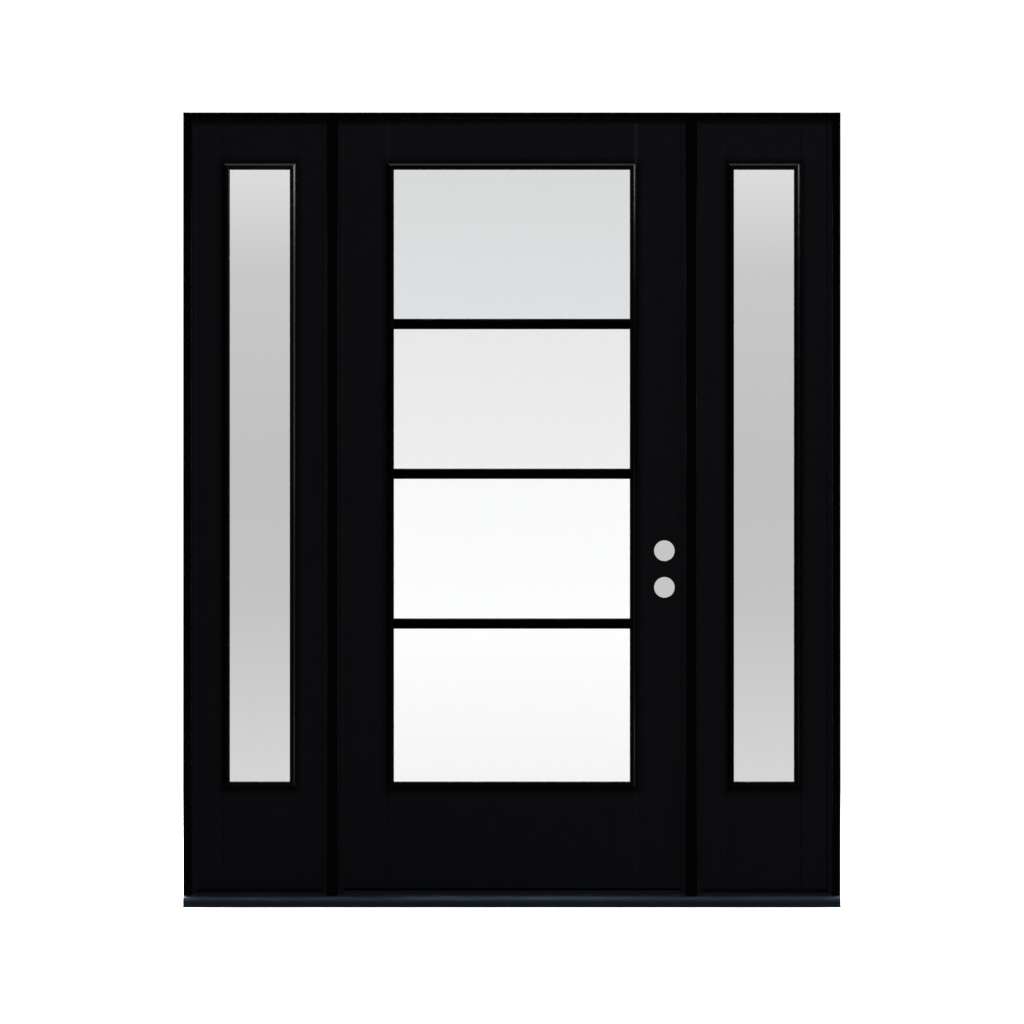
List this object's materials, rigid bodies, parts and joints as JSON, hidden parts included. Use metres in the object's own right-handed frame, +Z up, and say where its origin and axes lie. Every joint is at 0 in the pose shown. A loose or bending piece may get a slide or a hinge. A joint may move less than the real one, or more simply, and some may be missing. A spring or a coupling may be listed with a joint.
{
  "type": "entry door with sidelights",
  "caption": "Glazed entry door that opens inwards between narrow fixed sidelights, in one frame on a metal-decked sill.",
  "frame": {"origin": "middle of the sill's underside, half way through the depth of the jambs", "axes": "+X to the right seen from outside, +Y towards the inside of the building, +Z up"},
  "size_m": [1.717, 0.156, 2.076],
  "materials": {
    "slab_paint": "smooth satin blue-black paint on stiles and rails",
    "frame_paint": "matt black paint on jambs",
    "glazing_trim": "moulded black trim with a satin face",
    "clear_glass": "clear sealed double glazing",
    "slate_deck": "slate-blue anodised extrusion, drawn along its length",
    "dark_composite": "dark grey composite",
    "hinge_metal": "black coated steel",
    "black_seal": "soft black seal"
  },
  "bodies": {
    "frame": {"sill_core": "dark_composite", "sill_deck": "slate_deck", "threshold_cap": "dark_composite", "left_light_base": "dark_composite", "right_light_base": "dark_composite", "left_jamb": "frame_paint", "right_jamb": "frame_paint", "head_jamb": "frame_paint", "left_mullion": "frame_paint", "right_mullion": "frame_paint", "door_stops": "slab_paint", "left_light_stops": "slab_paint", "right_light_stops": "slab_paint", "door_seal": "black_seal", "top_hinge_frame_leaf": "hinge_metal", "middle_hinge_frame_leaf": "hinge_metal", "bottom_hinge_frame_leaf": "hinge_metal", "hinge_pins": "hinge_metal", "left_light_outer_stile": "slab_paint", "left_light_inner_stile": "slab_paint", "left_light_top_rail": "slab_paint", "left_light_bottom_rail": "slab_paint", "left_light_glass": "clear_glass", "left_light_outside_moulding": "glazing_trim", "left_light_inside_moulding": "glazing_trim", "right_light_outer_stile": "slab_paint", "right_light_inner_stile": "slab_paint", "right_light_top_rail": "slab_paint", "right_light_bottom_rail": "slab_paint", "right_light_glass": "clear_glass", "right_light_outside_moulding": "glazing_trim", "right_light_inside_moulding": "glazing_trim"},
    "door": {"door_hinge_stile": "slab_paint", "door_lock_stile": "slab_paint", "door_top_rail": "slab_paint", "door_bottom_rail": "slab_paint", "door_glass": "clear_glass", "door_outside_moulding": "glazing_trim", "door_inside_moulding": "glazing_trim", "door_outside_bars": "glazing_trim", "door_inside_bars": "glazing_trim", "door_sweep": "black_seal", "top_hinge_door_leaf": "hinge_metal", "middle_hinge_door_leaf": "hinge_metal", "bottom_hinge_door_leaf": "hinge_metal"}
  },
  "joints": [
    {"name": "door_swing", "type": "hinge", "parent": "frame", "child": "door", "pos_m": [-0.452, 0.066, 1], "axis": [0, 0, 1], "range_deg": [0, 170]}
  ]
}
